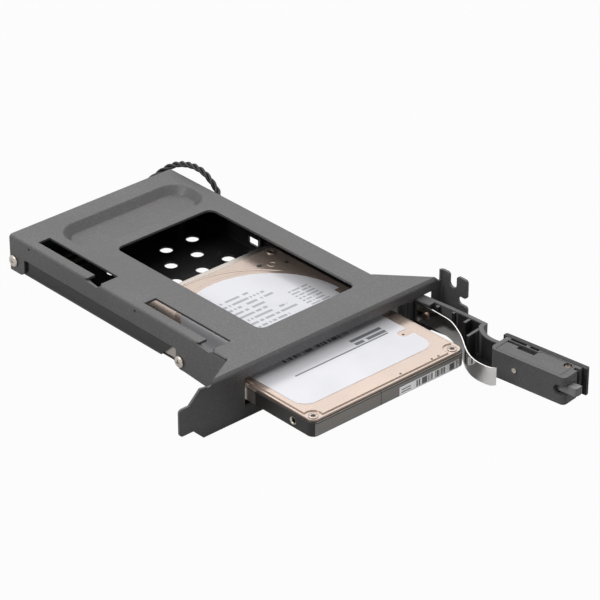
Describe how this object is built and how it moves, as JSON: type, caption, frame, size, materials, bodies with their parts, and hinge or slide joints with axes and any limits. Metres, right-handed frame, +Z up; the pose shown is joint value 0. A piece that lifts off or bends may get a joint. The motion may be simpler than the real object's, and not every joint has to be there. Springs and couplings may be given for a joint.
{
  "type": "hot swap drive bay adapter",
  "caption": "Slot-bracket mobile rack: a folded cover and vented tray with a hinged lever door, spring latch and a sliding 2.5 inch drive",
  "frame": {"origin": "middle of the drive bay, on the bracket's rear face that seats against the case, at the bracket's lower edge as it lies in the picture", "axes": "X along the bracket from the tongue to the screw tab, Y into the computer along the drive's travel, Z up from the tray to the cover"},
  "size_m": [0.12, 0.2053, 0.0243],
  "materials": {
    "powder_coat": "charcoal powder coat",
    "black_paint": "satin black",
    "nickel": "nickel plate",
    "board_green": "solder mask",
    "black_plastic": "moulded",
    "ivory_plastic": "moulded",
    "lead_sleeve": "soft insulation",
    "zinc_steel": "zinc plate",
    "door_plastic": "fine texture",
    "spring_steel": "polished",
    "latch_plastic": "fine texture",
    "drive_casting": "black coat",
    "drive_lid": "satin",
    "label_paper": "coated paper"
  },
  "bodies": {
    "frame": {"cover_bracket": "powder_coat", "drive_tray": "black_paint", "cover_screws": "nickel", "backplane": "board_green", "board_screws": "nickel", "drive_receptacle": "black_plastic", "data_port": "black_plastic", "power_port": "black_plastic", "lead_header": "ivory_plastic", "light_lead": "lead_sleeve", "hinge_bracket": "zinc_steel", "hinge_pin": "nickel"},
    "door": {"door_lever": "door_plastic", "latch_lid": "door_plastic", "lid_screw": "nickel", "spring_peg": "nickel", "leaf_spring": "spring_steel", "leaf_rivet": "nickel"},
    "latch": {"latch_slider": "latch_plastic", "latch_spring": "zinc_steel"},
    "drive": {"drive_base": "drive_casting", "drive_cover": "drive_lid", "drive_screws": "nickel", "drive_label": "label_paper", "drive_edge_label": "label_paper", "drive_board": "board_green", "drive_plug": "black_plastic"}
  },
  "joints": [
    {"name": "door_hinge", "type": "hinge", "parent": "frame", "child": "door", "pos_m": [0.0406, 0.0023, 0.0099], "axis": [0, 0, -1], "range_deg": [0, 97], "deforming": ["leaf_spring"]},
    {"name": "drive_slide", "type": "slide", "parent": "frame", "child": "drive", "axis": [0, 1, 0], "range_m": [0, 0.048]},
    {"name": "latch_slide", "type": "slide", "parent": "door", "child": "latch", "axis": [-0.1219, 0.9925, 0], "range_m": [0, 0.0025], "stiffness_N_per_m": 300, "springref_m": -0.003, "deforming": ["latch_spring"]}
  ],
  "couplings": [
    {"joint": "drive_slide", "follows": "door_hinge", "m_per_rad": 0.028352}
  ]
}
